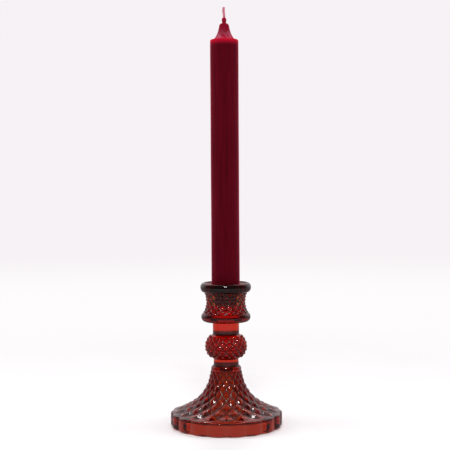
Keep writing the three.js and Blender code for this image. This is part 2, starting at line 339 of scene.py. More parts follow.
@dataclass(frozen=True)
class DippedWax:
    """Paraffin wax dyed burgundy and dipped in many layers.

    Dipping leaves faint upright streaks and specks. The tip, dipped last and thinly, is crimson, with a
    whitish bloom in streaks round its foot, and a painted glow brightens the shoulder under it. The foot
    of the candle, down in the socket, is painted brighter, as painted light. The specks are drawn nearly a
    millimetre wide, coarser than the grain of real wax, so that they show.

    The painted glow and the bloom start and end at heights in millimetres over the shoulder.
    """

    shoulder: float
    tip_height: float
    foot_top: float = 111.0
    foot_fade: float = 6.0
    # The foot inside the socket is painted brighter, as painted light.
    painted_light_foot_hex: str = "740b1c"
    dark_hex: str = "460310"
    light_hex: str = "540513"
    # Painted glow at the shoulder.
    shoulder_glow_hex: str = "b00e28"
    ledge_hex: str = "a01630"
    tip_hex: str = "780a20"
    nub_hex: str = "8c102a"
    bloom_hex: str = "a86c80"
    bloom: Stretch = (0.38, 0.66, 0.0, 0.65)
    bloom_rise: tuple[float, float] = (-0.2, 0.8)
    bloom_full: float = 0.5
    bloom_top_share: float = 0.6
    sheen_hex: str = "e0506c"
    sheen: float = 0.8
    sheen_spread: float = 0.35
    roughness: Stretch = (0.0, 1.0, 0.5, 0.75)
    gloss: float = 0.03
    glow: tuple[float, float] = (-5.0, -0.3)
    streak_mm: float = 1.6
    streak_squash: float = 0.04
    streak_depth_mm: float = 0.05
    speck_mm: float = 0.9
    depth_mm: float = 2.0

    def climb(self, height: Socket, start: float, end: float) -> dict[str, Any]:
        """Inputs of a node that maps a height in metres, from start and end in mm over the shoulder."""
        return limits(height, (self.shoulder + start) * MM, (self.shoulder + end) * MM)

    def body_colour(self, tree: Tree, height: Socket, streaks: Socket) -> Socket:
        """Colour of the long body: a foot painted brighter, as painted light, and streaks of two burgundies
        over it.

        Args:
            tree: the material's node tree.
            height: the point's height in metres.
            streaks: the pattern of the upright streaks, 0 to 1.

        Returns:
            The colour's socket.
        """
        dipped = add_node(tree, "ValToRGB", {"Fac": streaks})
        set_stops(dipped, [(0.35, self.dark_hex), (0.65, self.light_hex)])
        # Painted light: the wax inside the socket is drawn brighter.
        foot = limits(height, (self.foot_top - self.foot_fade) * MM, self.foot_top * MM)
        above = add_node(tree, "MapRange", foot, interpolation_type=SMOOTH).outputs["Result"]
        colours = {0: above, 6: linear(self.painted_light_foot_hex), 7: dipped.outputs["Color"]}
        return add_node(tree, "Mix", colours, data_type="RGBA").outputs[2]

    def tip_colour(self, tree: Tree, height: Socket) -> Socket:
        """Colour from the shoulder up to the nub, brightest at the shoulder, where the glow is painted.

        Args:
            tree: the material's node tree.
            height: the point's height in metres.

        Returns:
            The colour's socket.
        """
        share = add_node(tree, "MapRange", self.climb(height, 0.0, self.tip_height)).outputs["Result"]
        upper = add_node(tree, "ValToRGB", {"Fac": share})
        stops = [
            (0.0, self.shoulder_glow_hex),
            (0.06, self.ledge_hex),
            (0.3, self.tip_hex),
            (0.7, self.tip_hex),
            (1.0, self.nub_hex),
        ]
        set_stops(upper, stops)
        return upper.outputs["Color"]

    def bloom_share(self, tree: Tree, height: Socket, streaks: Socket) -> Socket:
        """How much whitish bloom there is: streaks round the foot of the tip.

        Args:
            tree: the material's node tree.
            height: the point's height in metres.
            streaks: the pattern of the upright streaks, 0 to 1.

        Returns:
            A socket from 0 to 1.
        """
        rise = self.climb(height, *self.bloom_rise)
        fall = self.climb(height, self.tip_height * self.bloom_top_share, self.bloom_full)
        low = add_node(tree, "MapRange", rise, interpolation_type=SMOOTH).outputs["Result"]
        high = add_node(tree, "MapRange", fall, interpolation_type=SMOOTH).outputs["Result"]
        band = add_node(tree, "Math", {0: low, 1: high}, operation="MULTIPLY").outputs["Value"]
        streaky = add_node(tree, "MapRange", limits(streaks, *self.bloom)).outputs["Result"]
        return add_node(tree, "Math", {0: band, 1: streaky}, operation="MULTIPLY").outputs["Value"]

    def build(self) -> bpy.types.Material:
        """Builds the wax.

        Returns:
            The material.
        """
        material, tree, place = new_material("dipped_paraffin_wax")
        height = add_node(tree, "SeparateXYZ", {"Vector": place}).outputs["Z"]
        drawn = add_node(tree, "Mapping", {"Vector": place, "Scale": (1.0, 1.0, self.streak_squash)})
        pattern = {"Vector": drawn.outputs["Vector"], "Scale": 1 / (self.streak_mm * MM), "Detail": 3.0}
        streaks = add_node(tree, "TexNoise", pattern).outputs["Fac"]
        grains = {"Vector": place, "Scale": 1 / (self.speck_mm * MM), "Detail": 2.0}
        specks = add_node(tree, "TexNoise", grains).outputs["Fac"]
        # Painted glow: the shoulder's bright colour reaches down the top few millimetres of the body.
        glow = self.climb(height, *self.glow)
        colours = {
            0: add_node(tree, "MapRange", glow, interpolation_type=SMOOTH).outputs["Result"],
            6: self.body_colour(tree, height, streaks),
            7: self.tip_colour(tree, height),
        }
        glowing = add_node(tree, "Mix", colours, data_type="RGBA").outputs[2]
        share = self.bloom_share(tree, height, streaks)
        bloomed = {0: share, 6: glowing, 7: linear(self.bloom_hex)}
        relief = {"Strength": 0.25, "Distance": self.streak_depth_mm * MM, "Height": streaks}
        values = {
            "Base Color": add_node(tree, "Mix", bloomed, data_type="RGBA").outputs[2],
            "Roughness": add_node(tree, "MapRange", limits(specks, *self.roughness)).outputs["Result"],
            "IOR": 1.44,
            "Specular IOR Level": self.gloss,
            "Sheen Weight": self.sheen,
            "Sheen Roughness": self.sheen_spread,
            "Sheen Tint": linear(self.sheen_hex),
            "Subsurface Weight": 0.15,
            "Subsurface Radius": (1.0, 0.15, 0.2),
            "Subsurface Scale": self.depth_mm * MM,
            "Normal": add_node(tree, "Bump", relief).outputs["Normal"],
        }
        wax = add_node(tree, "BsdfPrincipled", values)
        add_node(tree, "OutputMaterial", {"Surface": wax.outputs["BSDF"]})
        return material


@dataclass(frozen=True)
class WaxedCotton:
    """Braided cotton soaked in wax: pink where the dye wicked up, with fibres showing through."""

    thread_mm: float = 0.25
    thread_squash: float = 0.3
    thread_depth_mm: float = 0.08
    dyed_hex: str = "a83a55"
    pale_hex: str = "df9aa8"
    roughness: Stretch = (0.0, 1.0, 0.45, 0.8)
    depth_mm: float = 0.5

    def build(self) -> bpy.types.Material:
        """Builds the cotton.

        Returns:
            The material.
        """
        material, tree, place = new_material("waxed_cotton_braid")
        drawn = add_node(tree, "Mapping", {"Vector": place, "Scale": (1.0, 1.0, self.thread_squash)})
        threads = {"Vector": drawn.outputs["Vector"], "Scale": 1 / (self.thread_mm * MM), "Detail": 3.0}
        fibres = add_node(tree, "TexNoise", threads).outputs["Fac"]
        tint = add_node(tree, "ValToRGB", {"Fac": fibres})
        set_stops(tint, [(0.3, self.dyed_hex), (0.7, self.pale_hex)])
        relief = {"Strength": 0.5, "Distance": self.thread_depth_mm * MM, "Height": fibres}
        values = {
            "Base Color": tint.outputs["Color"],
            "Roughness": add_node(tree, "MapRange", limits(fibres, *self.roughness)).outputs["Result"],
            "Subsurface Weight": 0.1,
            "Subsurface Scale": self.depth_mm * MM,
            "Normal": add_node(tree, "Bump", relief).outputs["Normal"],
        }
        cotton = add_node(tree, "BsdfPrincipled", values)
        add_node(tree, "OutputMaterial", {"Surface": cotton.outputs["BSDF"]})
        return material


@dataclass(frozen=True)
class DiamondBand:
    """A band of diamonds, whose levels are numbered in rows from the first row of crests.

    Attributes:
        curve: profile points that the crests lie on.
        rows: number of rows along the curve.
        relief: depth of the grooves at the start and the end of the curve.
        first: the row at the curve's start.
        run_out: rows from the outermost crests to the end of the band, where all is groove.
        shrink: how fast the rows shorten as they climb, 1 for equal rows.
        reach: share of the curve's length on either side over which its direction is taken.
    """

    curve: np.ndarray
    rows: int
    relief: tuple[float, float]
    first: float = 0.0
    run_out: float = 1.0
    shrink: float = 1.0
    reach: float = 0.004

    def share(self, row: float) -> float:
        """Share of the curve's length at a row."""
        return 1 - (1 - (row - self.first) / self.rows) ** self.shrink

    def point(self, share: float) -> np.ndarray:
        """Radius and height at a share of the curve's length."""
        run = np.cumsum(np.linalg.norm(np.diff(self.curve, axis=0, prepend=self.curve[:1]), axis=1))
        return np.array([np.interp(share * run[-1], run, values) for values in self.curve.T])

    def place(self, row: float, depth: np.ndarray) -> tuple[np.ndarray, np.ndarray]:
        """Radius and height at each column of a row.

        Args:
            row: the level, in rows.
            depth: depth under the crests at each column, as a share of the relief.

        Returns:
            The radii and the heights.
        """
        share = self.share(row)
        crest = self.point(share)
        step = self.point(min(1, share + self.reach)) - self.point(max(0, share - self.reach))
        along, rise = step / np.linalg.norm(step)
        deep = depth * np.interp(share, (0, 1), self.relief)
        return crest[0] - rise * deep, crest[1] + along * deep


@dataclass(frozen=True)
class Level:
    """One ring of the glass.

    Attributes:
        radius: distance from the axis at each column, in millimetres.
        height: height over the table at each column, in millimetres.
        lean: which diagonals lean back in the cells over the level.
        groove: how much of the grooves' dull skin and painted shade each column has, 0 to 1.
        thick: how much painted shade darkens the level, 0 to 1.
        outside: whether the mould seams cross the level.
    """

    radius: np.ndarray
    height: np.ndarray
    lean: np.ndarray
    groove: np.ndarray
    thick: float
    outside: bool


@dataclass
class RubyCandlestick:
    """The pressed glass holder, with the sizes of its solid in millimetres.

    It differs from the solid in the pillowed diamonds, the mould seams, the crisper top edge of the
    foot's wall, and the taller upright wall with a tighter corner in the hollow. The fillet under the
    bead is given outwards and upwards from the corner of neck and bead.
    """

    finish: RubyPressedGlass
    diamonds_round: int = 18
    grid_steps: int = 8

    base_radius: float = 43.5
    scallop_depth: float = 1.5
    base_wall_height: float = 11.0
    base_edge_round: float = 2.0
    base_top_round: float = 0.8
    skirt_control: tuple[float, float] = (20.6, 19.5)
    stem_control: tuple[float, float] = (14.5, 28.5)
    foot_top: tuple[float, float] = (12.2, 43.9)
    foot_rows: int = 10
    foot_row_shrink: float = 1.45
    foot_relief: tuple[float, float] = (1.5, 0.8)
    foot_ring_width: float = 7.7
    ring_edge_round: float = 0.5
    ring_shares: tuple[float, ...] = (0.5, 0.8)
    hollow_wall_height: float = 7.2
    hollow_corner_round: float = 1.5
    skirt_wall: float = 6.5
    stem_wall: float = 6.3
    hollow_tip_wall: float = 7.6
    hollow_tip_drop: float = 2.0
    hollow_tip_height: float = 3.0
    shoulder_lift: float = 0.6
    neck_bottom: float = 47.5
    lower_neck_radius: float = 9.7
    joint_round: float = 0.35
    joint_gap: float = 0.3

    ball_bottom: float = 53.2
    ball_radius: float = 16.65
    ball_end_radius: float = 12.1
    ball_height: float = 18.6
    ball_rows: int = 7
    ball_relief: tuple[float, float] = (1.1, 1.1)
    ball_run_out: float = 0.5
    upper_neck_radius: float = 10.25

    cup_bottom: float = 81.9
    bead_radius: float = 19.2
    bead_height: float = 6.7
    bead_belly: float = 0.55
    bead_foot_radius: float = 16.2
    bead_fillet: tuple[tuple[float, float], ...] = ((0.0, -0.5), (0.2, -0.1), (0.7, 0.0))
    waist_bottom_radius: float = 18.0
    waist_radius: float = 15.5
    waist_top_radius: float = 17.3
    waist_height: float = 16.3
    waist_rows: int = 7
    waist_relief: tuple[float, float] = (0.9, 0.9)
    waist_run_out: float = 0.35
    rim_radius: float = 19.75
    rim_height: float = 7.1
    rim_belly_height: float = 3.9
    rim_crest_radius: float = 17.3
    rim_dish_depth: float = 2.2
    socket_radius: float = 11.35
    socket_floor: float = 93.93
    socket_mouth_round: float = 0.9
    socket_corner: float = 0.25
    socket_middle: float = 2.0

    # How much painted shade darkens each part, 0 to 1.
    stem_thick: float = 0.5
    neck_thick: float = 0.1
    neck_shade: float = 2.0
    waist_thick: float = 0.3
    rim_thick: float = 0.95
    dish_thick: float = 0.3
    bead_thick: float = 0.6

    pillow_power: float = 1.4
    skin_from: float = 0.55
    low_skin: float = 0.95
    seam_height: float = 0.12
    seam_columns: tuple[int, ...] = (0, 12, 24)
    curve_steps: int = 300
    edge_levels: int = 5
    wall_levels: int = 8
    neck_levels: int = 12
    joint_levels: int = 3

    levels: list[Level] = field(default_factory=list)

    def columns(self) -> np.ndarray:
        """Column of each point of a level, in half diamonds from the front."""
        return np.arange(self.diamonds_round * 2 * self.grid_steps) / self.grid_steps

    def add_level(
        self, radius: Any, height: Any, lean: Any = False, groove: Any = 0.0, thick: float = 0.0,
        outside: bool = True,
    ) -> None:
        """Adds one level.

        Args:
            radius: distance from the axis, for all columns or for each.
            height: height over the table, for all columns or for each.
            lean: which diagonals lean back in the cells over the level.
            groove: how much of the grooves' dull skin and painted shade it has, 0 to 1.
            thick: how much painted shade darkens it, 0 to 1.
            outside: whether the mould seams cross it.
        """
        count = len(self.columns())
        values = [np.broadcast_to(value, count) for value in (radius, height, lean, groove)]
        self.levels.append(Level(*values, thick, outside))

    def add_profile(self, points: Sequence[Point], **values: Any) -> None:
        """Adds a round level for each point of a profile, with the same values for all."""
        for radius, height in points:
            self.add_level(radius, height, **values)

    def scallop(self) -> np.ndarray:
        """The scalloped outline, made of arcs that meet in notches.

        Returns:
            Its radius at each column.
        """
        half = math.pi / self.diamonds_round
        notch = self.base_radius - self.scallop_depth
        chord = notch * math.sin(half)
        bulge = self.base_radius - notch * math.cos(half)
        lobe = (chord**2 + bulge**2) / (2 * bulge)
        centre = self.base_radius - lobe
        turn = fold(self.columns() + 1) * half
        return centre * np.cos(turn) + np.sqrt(lobe**2 - (centre * np.sin(turn)) ** 2)

    def diamond_depth(self, row: float, band: DiamondBand) -> tuple[np.ndarray, np.ndarray]:
        """Depth under the crests at each column, 0 on a crest and 1 in a groove, and the groove's dull skin
        and painted shade.

        Args:
            row: the level, in rows. A crest lies where row plus column is odd.
            band: the band of diamonds.

        Returns:
            The depth as a share of the relief, and how much dull skin and painted shade there is.
        """
        column = self.columns()
        inside = min(max(row, 0), band.rows - 1)
        beyond = abs(row - inside) / band.run_out
        rising = np.minimum(1, fold(column + inside + 1) + beyond)
        falling = np.minimum(1, fold(column - inside + 1) + beyond)
        depth = 1 - (1 - rising**self.pillow_power) * (1 - falling**self.pillow_power)
        dull_and_shaded = np.clip((np.maximum(rising, falling) - self.skin_from) / (1 - self.skin_from), 0, 1)
        return depth, dull_and_shaded * dull_and_shaded * (3 - 2 * dull_and_shaded) * (1 - beyond)

    def lattice_lean(self, row: float) -> np.ndarray:
        """Finds the diagonals that lean back, so that the grooves run along them.

        Args:
            row: the level under the cells, in rows.

        Returns:
            True at each column whose diagonal leans back.
        """
        middle = self.columns() + 0.5 / self.grid_steps
        above = row + 0.5 / self.grid_steps
        return fold(middle + above + 1) > fold(middle - above + 1)

    def add_facets(
        self, band: DiamondBand, steps: range, top_thick: float = 0.0, low_skin: float = 1.0
    ) -> None:
        """Adds the levels of a band of diamonds.

        Args:
            band: the band of diamonds.
            steps: the levels, in steps of the grid from the start of the band.
            top_thick: how much painted shade darkens the glass at the end of the band.
            low_skin: how much of the dull skin and painted shade the grooves have at its start.
        """
        for step in steps:
            row = step / self.grid_steps + band.first
            share = band.share(row)
            depth, dull_and_shaded = self.diamond_depth(row, band)
            radius, height = band.place(row, depth)
            groove = dull_and_shaded * (low_skin + (1 - low_skin) * share)
            self.add_level(radius, height, self.lattice_lean(row), groove, top_thick * share)

    def hollow(self) -> None:
        """The hollow, from its tip down to the table, and the flat ring that the foot stands on."""
        ring = self.base_radius - self.foot_ring_width
        wall, corner, edge = self.hollow_wall_height, self.hollow_corner_round, self.ring_edge_round
        tip = (self.foot_top[0] - self.hollow_tip_wall, self.foot_top[1] - self.hollow_tip_drop)
        dome = rounded(tip, (0, tip[1] + self.hollow_tip_height), Leaves.UPWARD, steps=8)[::-1]
        controls = (
            (ring - corner, wall + corner),
            (self.skirt_control[0], self.skirt_control[1] - self.skirt_wall),
            (self.stem_control[0] - self.stem_wall, self.stem_control[1] - self.stem_wall),
            tip,
        )
        side = cubic(controls, steps=24)[::-1]
        bend = rounded((ring, wall), side[-1], Leaves.UPWARD, steps=6)[::-1]
        upright = straight((ring, wall), (ring, edge), steps=4)[1:-1]
        mouth = rounded((ring, edge), (ring + edge, 0), Leaves.UPWARD, steps=4)
        self.add_profile(np.concatenate([dome[1:], side[1:-1], bend, upright, mouth]), outside=False)
        width = self.scallop() - self.base_edge_round - ring - edge
        for share in self.ring_shares:
            self.add_level(ring + edge + width * share, 0.0, outside=False)

    def wall(self) -> None:
        """The scalloped wall with its rounded edges."""
        outline = self.scallop()
        low, high = self.base_edge_round, self.base_top_round
        turns = np.linspace(0, math.pi / 2, self.edge_levels)
        for turn in turns:
            self.add_level(outline - low * (1 - math.sin(turn)), low * (1 - math.cos(turn)), outside=turn > 0)
        for height in np.linspace(low, self.base_wall_height - high, self.wall_levels)[1:-1]:
            self.add_level(outline, height)
        for turn in turns:
            height = self.base_wall_height - high * (1 - math.sin(turn))
            self.add_level(outline - high * (1 - math.cos(turn)), height)

    def petals(self, band: DiamondBand) -> None:
        """The petal over each scallop, from the lobe's edge to the first crossing of the grooves.

        Args:
            band: the band of diamonds that starts there.
        """
        lobes = self.scallop() - self.base_top_round
        column = self.columns()
        across = fold(column)
        side = np.sign((column + 1) % 2 - 1)
        sector = np.round(column / 2) * 2
        whole_turn = 2 * self.diamonds_round
        for step in range(1, self.grid_steps):
            up = step / self.grid_steps
            in_petal = across > up
            low = np.where(in_petal, 1 - (1 - across) / (1 - up), 0)
            high = np.where(in_petal, 1, np.minimum(1, across / up))
            foot = np.interp((sector + side * low) % whole_turn, column, lobes, period=whole_turn)
            radius, height = band.place(1.0, fold(high))
            # Grooves near the petal's edge get dull skin and painted shade.
            near_edge = np.clip(1 - np.abs(across - up) / (1 - self.skin_from), 0, 1)
            self.add_level(
                foot * (1 - up) + radius * up,
                self.base_wall_height * (1 - up) + height * up,
                self.lattice_lean(up),
                near_edge * self.low_skin * up,
            )

    def foot(self) -> None:
        """Petals and diamonds of the foot, whose rows shrink and get shallower as they climb."""
        start = (self.base_radius - self.base_top_round, self.base_wall_height)
        curve = cubic((start, self.skirt_control, self.stem_control, self.foot_top), self.curve_steps)
        band = DiamondBand(curve, self.foot_rows, self.foot_relief, shrink=self.foot_row_shrink)
        self.petals(band)
        steps = range(self.grid_steps, self.foot_rows * self.grid_steps + 1)
        # The grooves get dull skin and painted shade, and painted shade darkens the foot towards its top.
        self.add_facets(band, steps, self.stem_thick, self.low_skin)

    def lower_neck(self) -> None:
        """The shoulder over the foot and the neck up to the ball."""
        edge = (self.foot_top[0] - self.foot_relief[1] / 2, self.foot_top[1] + self.shoulder_lift)
        shoulder = rounded(edge, (self.lower_neck_radius, self.neck_bottom), Leaves.UPWARD, steps=8)
        self.add_profile(shoulder[: -self.joint_levels])
        # The joint under the neck is dull and painted with shade.
        self.add_profile(shoulder[-self.joint_levels :], groove=1.0, thick=1.0)
        self.neck(self.lower_neck_radius, self.neck_bottom, self.ball_bottom - self.joint_gap)

    def neck(self, radius: float, bottom: float, top: float) -> None:
        """A plain neck over a joint, dull and painted with shade at its foot; the painted shade fades over
        its upper half, and a light painted shade runs all along.

        Args:
            radius: radius of the neck.
            bottom: height of the joint, whose level is there already.
            top: height of the last level.
        """
        for height in np.linspace(bottom, top, self.neck_levels)[1:]:
            dark = min(1, max(0, 2 - 2 * (height - bottom) / self.neck_shade))
            thick = self.neck_thick + (1 - self.neck_thick) * dark
            self.add_level(radius, height, groove=dark, thick=thick)

    def ball(self) -> None:
        """The faceted ball, an arc that is flattened top and bottom, and the joint over it."""
        half = self.ball_height / 2
        bulge = self.ball_radius - self.ball_end_radius
        arc = (half**2 + bulge**2) / (2 * bulge)
        sweep = math.asin(half / arc)
        turn = np.linspace(-sweep, sweep, self.curve_steps)
        radius = self.ball_radius - arc + arc * np.cos(turn)
        height = self.ball_bottom + half + arc * np.sin(turn)
        curve, run_out = np.stack([radius, height], -1), self.ball_run_out
        band = DiamondBand(curve, self.ball_rows, self.ball_relief, -run_out, run_out)
        self.add_level(self.lower_neck_radius + self.joint_round, self.ball_bottom)
        self.add_facets(band, range(self.ball_rows * self.grid_steps + 1))
        neck, top = self.upper_neck_radius, self.ball_bottom + self.ball_height
        joint = ((neck + self.joint_round, top), (neck, top + self.joint_round))
        # The joint over the ball is painted with shade.
        self.add_profile(joint, thick=1.0)

    def cup(self) -> None:
        """The upper neck, the bead, the waisted band of diamonds and the rim."""
        neck, bottom = self.upper_neck_radius, self.cup_bottom
        top = bottom + self.bead_height
        fillet = [(neck + out, bottom + up) for out, up in self.bead_fillet]
        self.neck(neck, self.ball_bottom + self.ball_height + self.joint_round, fillet[0][1])
        self.add_level(*fillet[1])
        foot = (self.bead_foot_radius, bottom)
        belly = (self.bead_radius, bottom + self.bead_height * self.bead_belly)
        shoulder = (self.waist_bottom_radius - self.waist_relief[0], top)
        self.add_profile(straight(fillet[2], foot, steps=5)[:-1])
        # The bead is painted with shade.
        self.add_profile(rounded(foot, belly, Leaves.OUTWARD, steps=9), thick=self.bead_thick)
        self.add_profile(rounded(belly, shoulder, Leaves.UPWARD, steps=9)[1:-1], thick=self.bead_thick)
        self.waist(top)
        self.rim(top + self.waist_height)

    def waist(self, bottom: float) -> None:
        """The diamonds between bead and rim.

        Args:
            bottom: height of the band's lower end.
        """
        control = (8 * self.waist_radius - self.waist_bottom_radius - self.waist_top_radius) / 6
        rise = self.waist_height / 3
        controls = (
            (self.waist_bottom_radius, bottom),
            (control, bottom + rise),
            (control, bottom + 2 * rise),
            (self.waist_top_radius, bottom + self.waist_height),
        )
        curve, run_out = cubic(controls, self.curve_steps), self.waist_run_out
        band = DiamondBand(curve, self.waist_rows, self.waist_relief, -run_out, run_out)
        # Painted shade grows towards the waist's top.
        self.add_facets(band, range(self.waist_rows * self.grid_steps), self.waist_thick)

    def rim(self, bottom: float) -> None:
        """The rounded rim, dished down to the mouth of the socket.

        Args:
            bottom: height of the rim's lower end.
        """
        belly = (self.rim_radius, bottom + self.rim_belly_height)
        crest = (self.rim_crest_radius, bottom + self.rim_height)
        radius, mouth = self.socket_radius, crest[1] - self.rim_dish_depth
        under = rounded((self.waist_top_radius, bottom), belly, Leaves.OUTWARD, steps=9)
        # Rim and dish are painted with shade.
        self.add_profile(under, thick=self.rim_thick)
        self.add_profile(rounded(belly, crest, Leaves.UPWARD, steps=8)[1:], thick=self.rim_thick)
        dish = rounded((radius, mouth), crest, Leaves.OUTWARD, steps=10)[::-1]
        self.add_profile(dish[1:-2], thick=self.dish_thick)
        edge = self.socket_mouth_round
        lip = rounded((radius, mouth - edge), (radius + edge, mouth), Leaves.UPWARD, steps=4)
        self.add_profile(lip[::-1], outside=False)

    def socket(self) -> None:
        """The wall and floor of the socket."""
        radius, floor, corner = self.socket_radius, self.socket_floor, self.socket_corner
        top = self.levels[-1].height[0]
        wall = straight((radius, top), (radius, floor + corner), steps=8)[1:]
        ground = straight((radius - corner, floor), (self.socket_middle, floor), steps=4)
        self.add_profile(np.concatenate([wall, ground]), outside=False)

    def rings(self) -> np.ndarray:
        """Puts the levels together and raises the mould seams.

        Returns:
            Points, levels x columns x 3, in millimetres.
        """
        seam = np.zeros(len(self.columns()))
        for column in self.seam_columns:
            seam[column * self.grid_steps] = self.seam_height
        angle = self.columns() / self.diamonds_round * math.pi - math.pi / 2
        radius = np.array([level.radius + seam * level.outside for level in self.levels])
        height = np.array([level.height for level in self.levels])
        return np.stack([radius * np.cos(angle), radius * np.sin(angle), height], -1)

    def build(self) -> bpy.types.Object:
        """Builds the holder and dresses it.

        Returns:
            The finished piece.
        """
        self.hollow()
        self.wall()
        self.foot()
        self.lower_neck()
        self.ball()
        self.cup()
        self.socket()
        leans = np.array([level.lean for level in self.levels[:-1]])
        piece = mesh_object("ruby_candlestick", *skin(self.rings(), leans))
        grooves = np.array([level.groove for level in self.levels]).ravel()
        darks = np.repeat([level.thick for level in self.levels], len(self.columns()))
        # The two centre points that close the skin have neither dull skin nor painted shade.
        for name, values in ((GROOVE, grooves), (PAINTED_SHADE, darks)):
            share = np.append(values, [0.0, 0.0]).astype(np.float32)
            piece.data.attributes.new(name, "FLOAT", "POINT").data.foreach_set("value", share)
        piece.data.materials.append(self.finish.build())
        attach(piece, "holder")
        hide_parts("glass_candlestick")
        return piece


@dataclass
class DinnerCandle:
    """The dipped candle, with the sizes of its solid in millimetres.

    The tip's curve is controlled at radii over its neck's and shares of its height. Each sway of the side
    has a length, a twist round the candle and a phase.
    """

    floor: float = 94.0
    radius: float = 11.0
    foot_round: float = 0.8
    shoulder: float = 300.2
    edge_round: float = 1.4
    flare_radius: float = 8.2
    tip_neck_radius: float = 4.5
    tip_height: float = 12.2
    tip_curve: tuple[tuple[float, float], ...] = ((0.6, 0.3), (0.0, 0.6))
    tip_taper: float = 0.5
    tip_round: float = 2.6
    nub_radius: float = 1.9
    nub_height: float = 4.4
    nub_round: float = 2.0
    nub_waist: float = 0.85
    nub_rise: float = 0.2
    bore: float = 1.05
    segments: int = 128
    bore_edge: float = 0.1
    unevenness: float = 0.05
    even_height: float = 20.0
    sways: tuple[tuple[float, float, float], ...] = ((31.0, 1.3, 0.0), (13.0, 2.1, 1.7))

    def profile(self) -> np.ndarray:
        """Profile of the candle, which closes on itself along the bore.

        Returns:
            Radius and height of each point, in millimetres.
        """
        shoulder, neck = self.shoulder, self.tip_neck_radius
        tip_top = shoulder + self.tip_height
        nub_top = tip_top + self.nub_height
        controls = [(self.flare_radius, shoulder)]
        controls += [(neck + out, shoulder + self.tip_height * share) for out, share in self.tip_curve]
        controls.append((neck - self.tip_taper, tip_top - self.tip_round))
        flare = cubic(controls, steps=20)
        foot = (self.radius - self.foot_round, self.floor)
        side_bottom = (self.radius, self.floor + self.foot_round)
        side_top = (self.radius, shoulder - self.edge_round)
        ledge = (self.radius - self.edge_round, shoulder)
        waist = (self.nub_radius * self.nub_waist, tip_top + self.nub_rise)
        belly = (self.nub_radius, nub_top - self.nub_round)
        bore_top = (self.bore, nub_top)
        parts = [
            straight((self.bore, self.floor), foot, steps=5)[:-1],
            rounded(foot, side_bottom, Leaves.OUTWARD, steps=6),
            straight(side_bottom, side_top, steps=90)[1:],
            rounded(side_top, ledge, Leaves.UPWARD, steps=8)[1:],
            flare,
            rounded(flare[-1], waist, Leaves.UPWARD, steps=8)[1:],
            rounded(waist, belly, Leaves.UPWARD, steps=6)[1:],
            rounded(belly, bore_top, Leaves.UPWARD, steps=6)[1:],
            straight(bore_top, (self.bore, self.floor), steps=20)[1:-1],
        ]
        return np.concatenate(parts)

    def build(self) -> bpy.types.Object:
        """Builds the candle, whose side sways a little as dipped wax does, and dresses it.

        Returns:
            The finished piece.
        """
        around = circle(self.segments)
        radius, height = self.profile().T[..., None]
        sway = 1 + 0 * height
        for axis, (length, twist, phase) in enumerate(self.sways):
            sway = sway + np.sin(height / length + around[:, axis] * twist + phase) / 2
        rise = np.clip((height - self.floor - self.even_height) / self.even_height, 0, 1)
        outside = radius > self.bore + self.bore_edge
        swayed = radius - self.unevenness * sway * rise * outside
        rings = swayed[..., None] * around + height[..., None] * UP
        piece = mesh_object("dipped_candle", *skin(rings, closes=True))
        piece.data.materials.append(DippedWax(self.shoulder, self.tip_height + self.nub_height).build())
        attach(piece, "candle")
        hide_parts("candle_wax")
        return piece


@dataclass
class BraidedWick:
    """The wick: three waxed cotton strands that cross over each other."""

    floor: float = 94.0
    braid_from: float = 312.0
    free_from: float = 316.0
    top: float = 325.4
    core_radius: float = 0.7
    strand_radius: float = 0.56
    strand_count: int = 3
    strand_levels: int = 70
    strand_end: float = 0.4
    core_levels: int = 12
    core_overlap: float = 1.0
    sides: int = 10
    braid_reach: tuple[float, float] = (0.5, 0.3)
    turn_length: float = 4.0
    lean: float = -0.35
    lean_power: float = 1.4
    wave_reach: tuple[float, float] = (0.25, 0.3)
    wave_turn: tuple[float, float] = (7.5, 5.0)
    blunt_start: tuple[float, ...] = (0.5, 0.5)
    blunt_end: tuple[float, ...] = (0.9, 0.75, 0.4)

    def spine(self, height: np.ndarray) -> np.ndarray:
        """Middle of the wick, upright in the wax and wavy above it.

        Args:
            height: heights over the table, in millimetres.

        Returns:
            The point at each height.
        """
        free = np.clip((height - self.free_from) / (self.top - self.free_from), 0, 1)
        waves = [reach * np.sin(free * turn) * free for reach, turn in zip(self.wave_reach, self.wave_turn)]
        return np.stack([self.lean * free**self.lean_power + waves[0], waves[1], height], -1)

    def strand(self, phase: float) -> tuple[np.ndarray, np.ndarray]:
        """One strand of the braid.

        Args:
            phase: where the strand starts in the crossing, in radians.

        Returns:
            Its points and triangles.
        """
        height = np.linspace(self.braid_from, self.top - self.strand_end, self.strand_levels)
        turn = (height - self.braid_from) / self.turn_length * 2 * math.pi + phase
        middle = self.spine(height)
        middle[:, 0] += self.braid_reach[0] * np.sin(turn)
        middle[:, 1] += self.braid_reach[1] * np.sin(2 * turn)
        radius = np.full(len(height), self.strand_radius)
        radius[: len(self.blunt_start)] *= self.blunt_start
        radius[-len(self.blunt_end) :] *= self.blunt_end
        return skin(middle[:, None, :] + radius[:, None, None] * circle(self.sides))

    def build(self) -> bpy.types.Object:
        """Builds the wick, a plain core in the wax and the braid over it, and dresses it.

        Returns:
            The finished piece.
        """
        height = np.linspace(self.floor, self.braid_from + self.core_overlap, self.core_levels)
        core = self.spine(height)[:, None, :] + self.core_radius * circle(self.sides)
        parts = [skin(core)]
        for number in range(self.strand_count):
            parts.append(self.strand(2 * math.pi * number / self.strand_count))
        starts = np.cumsum([0] + [len(points) for points, _ in parts])
        points = np.concatenate([points for points, _ in parts])
        triangles = np.concatenate([faces + start for (_, faces), start in zip(parts, starts)])
        piece = mesh_object("braided_wick", points, triangles)
        piece.data.materials.append(WaxedCotton().build())
        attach(piece, "candle")
        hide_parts("candle_wick")
        return piece


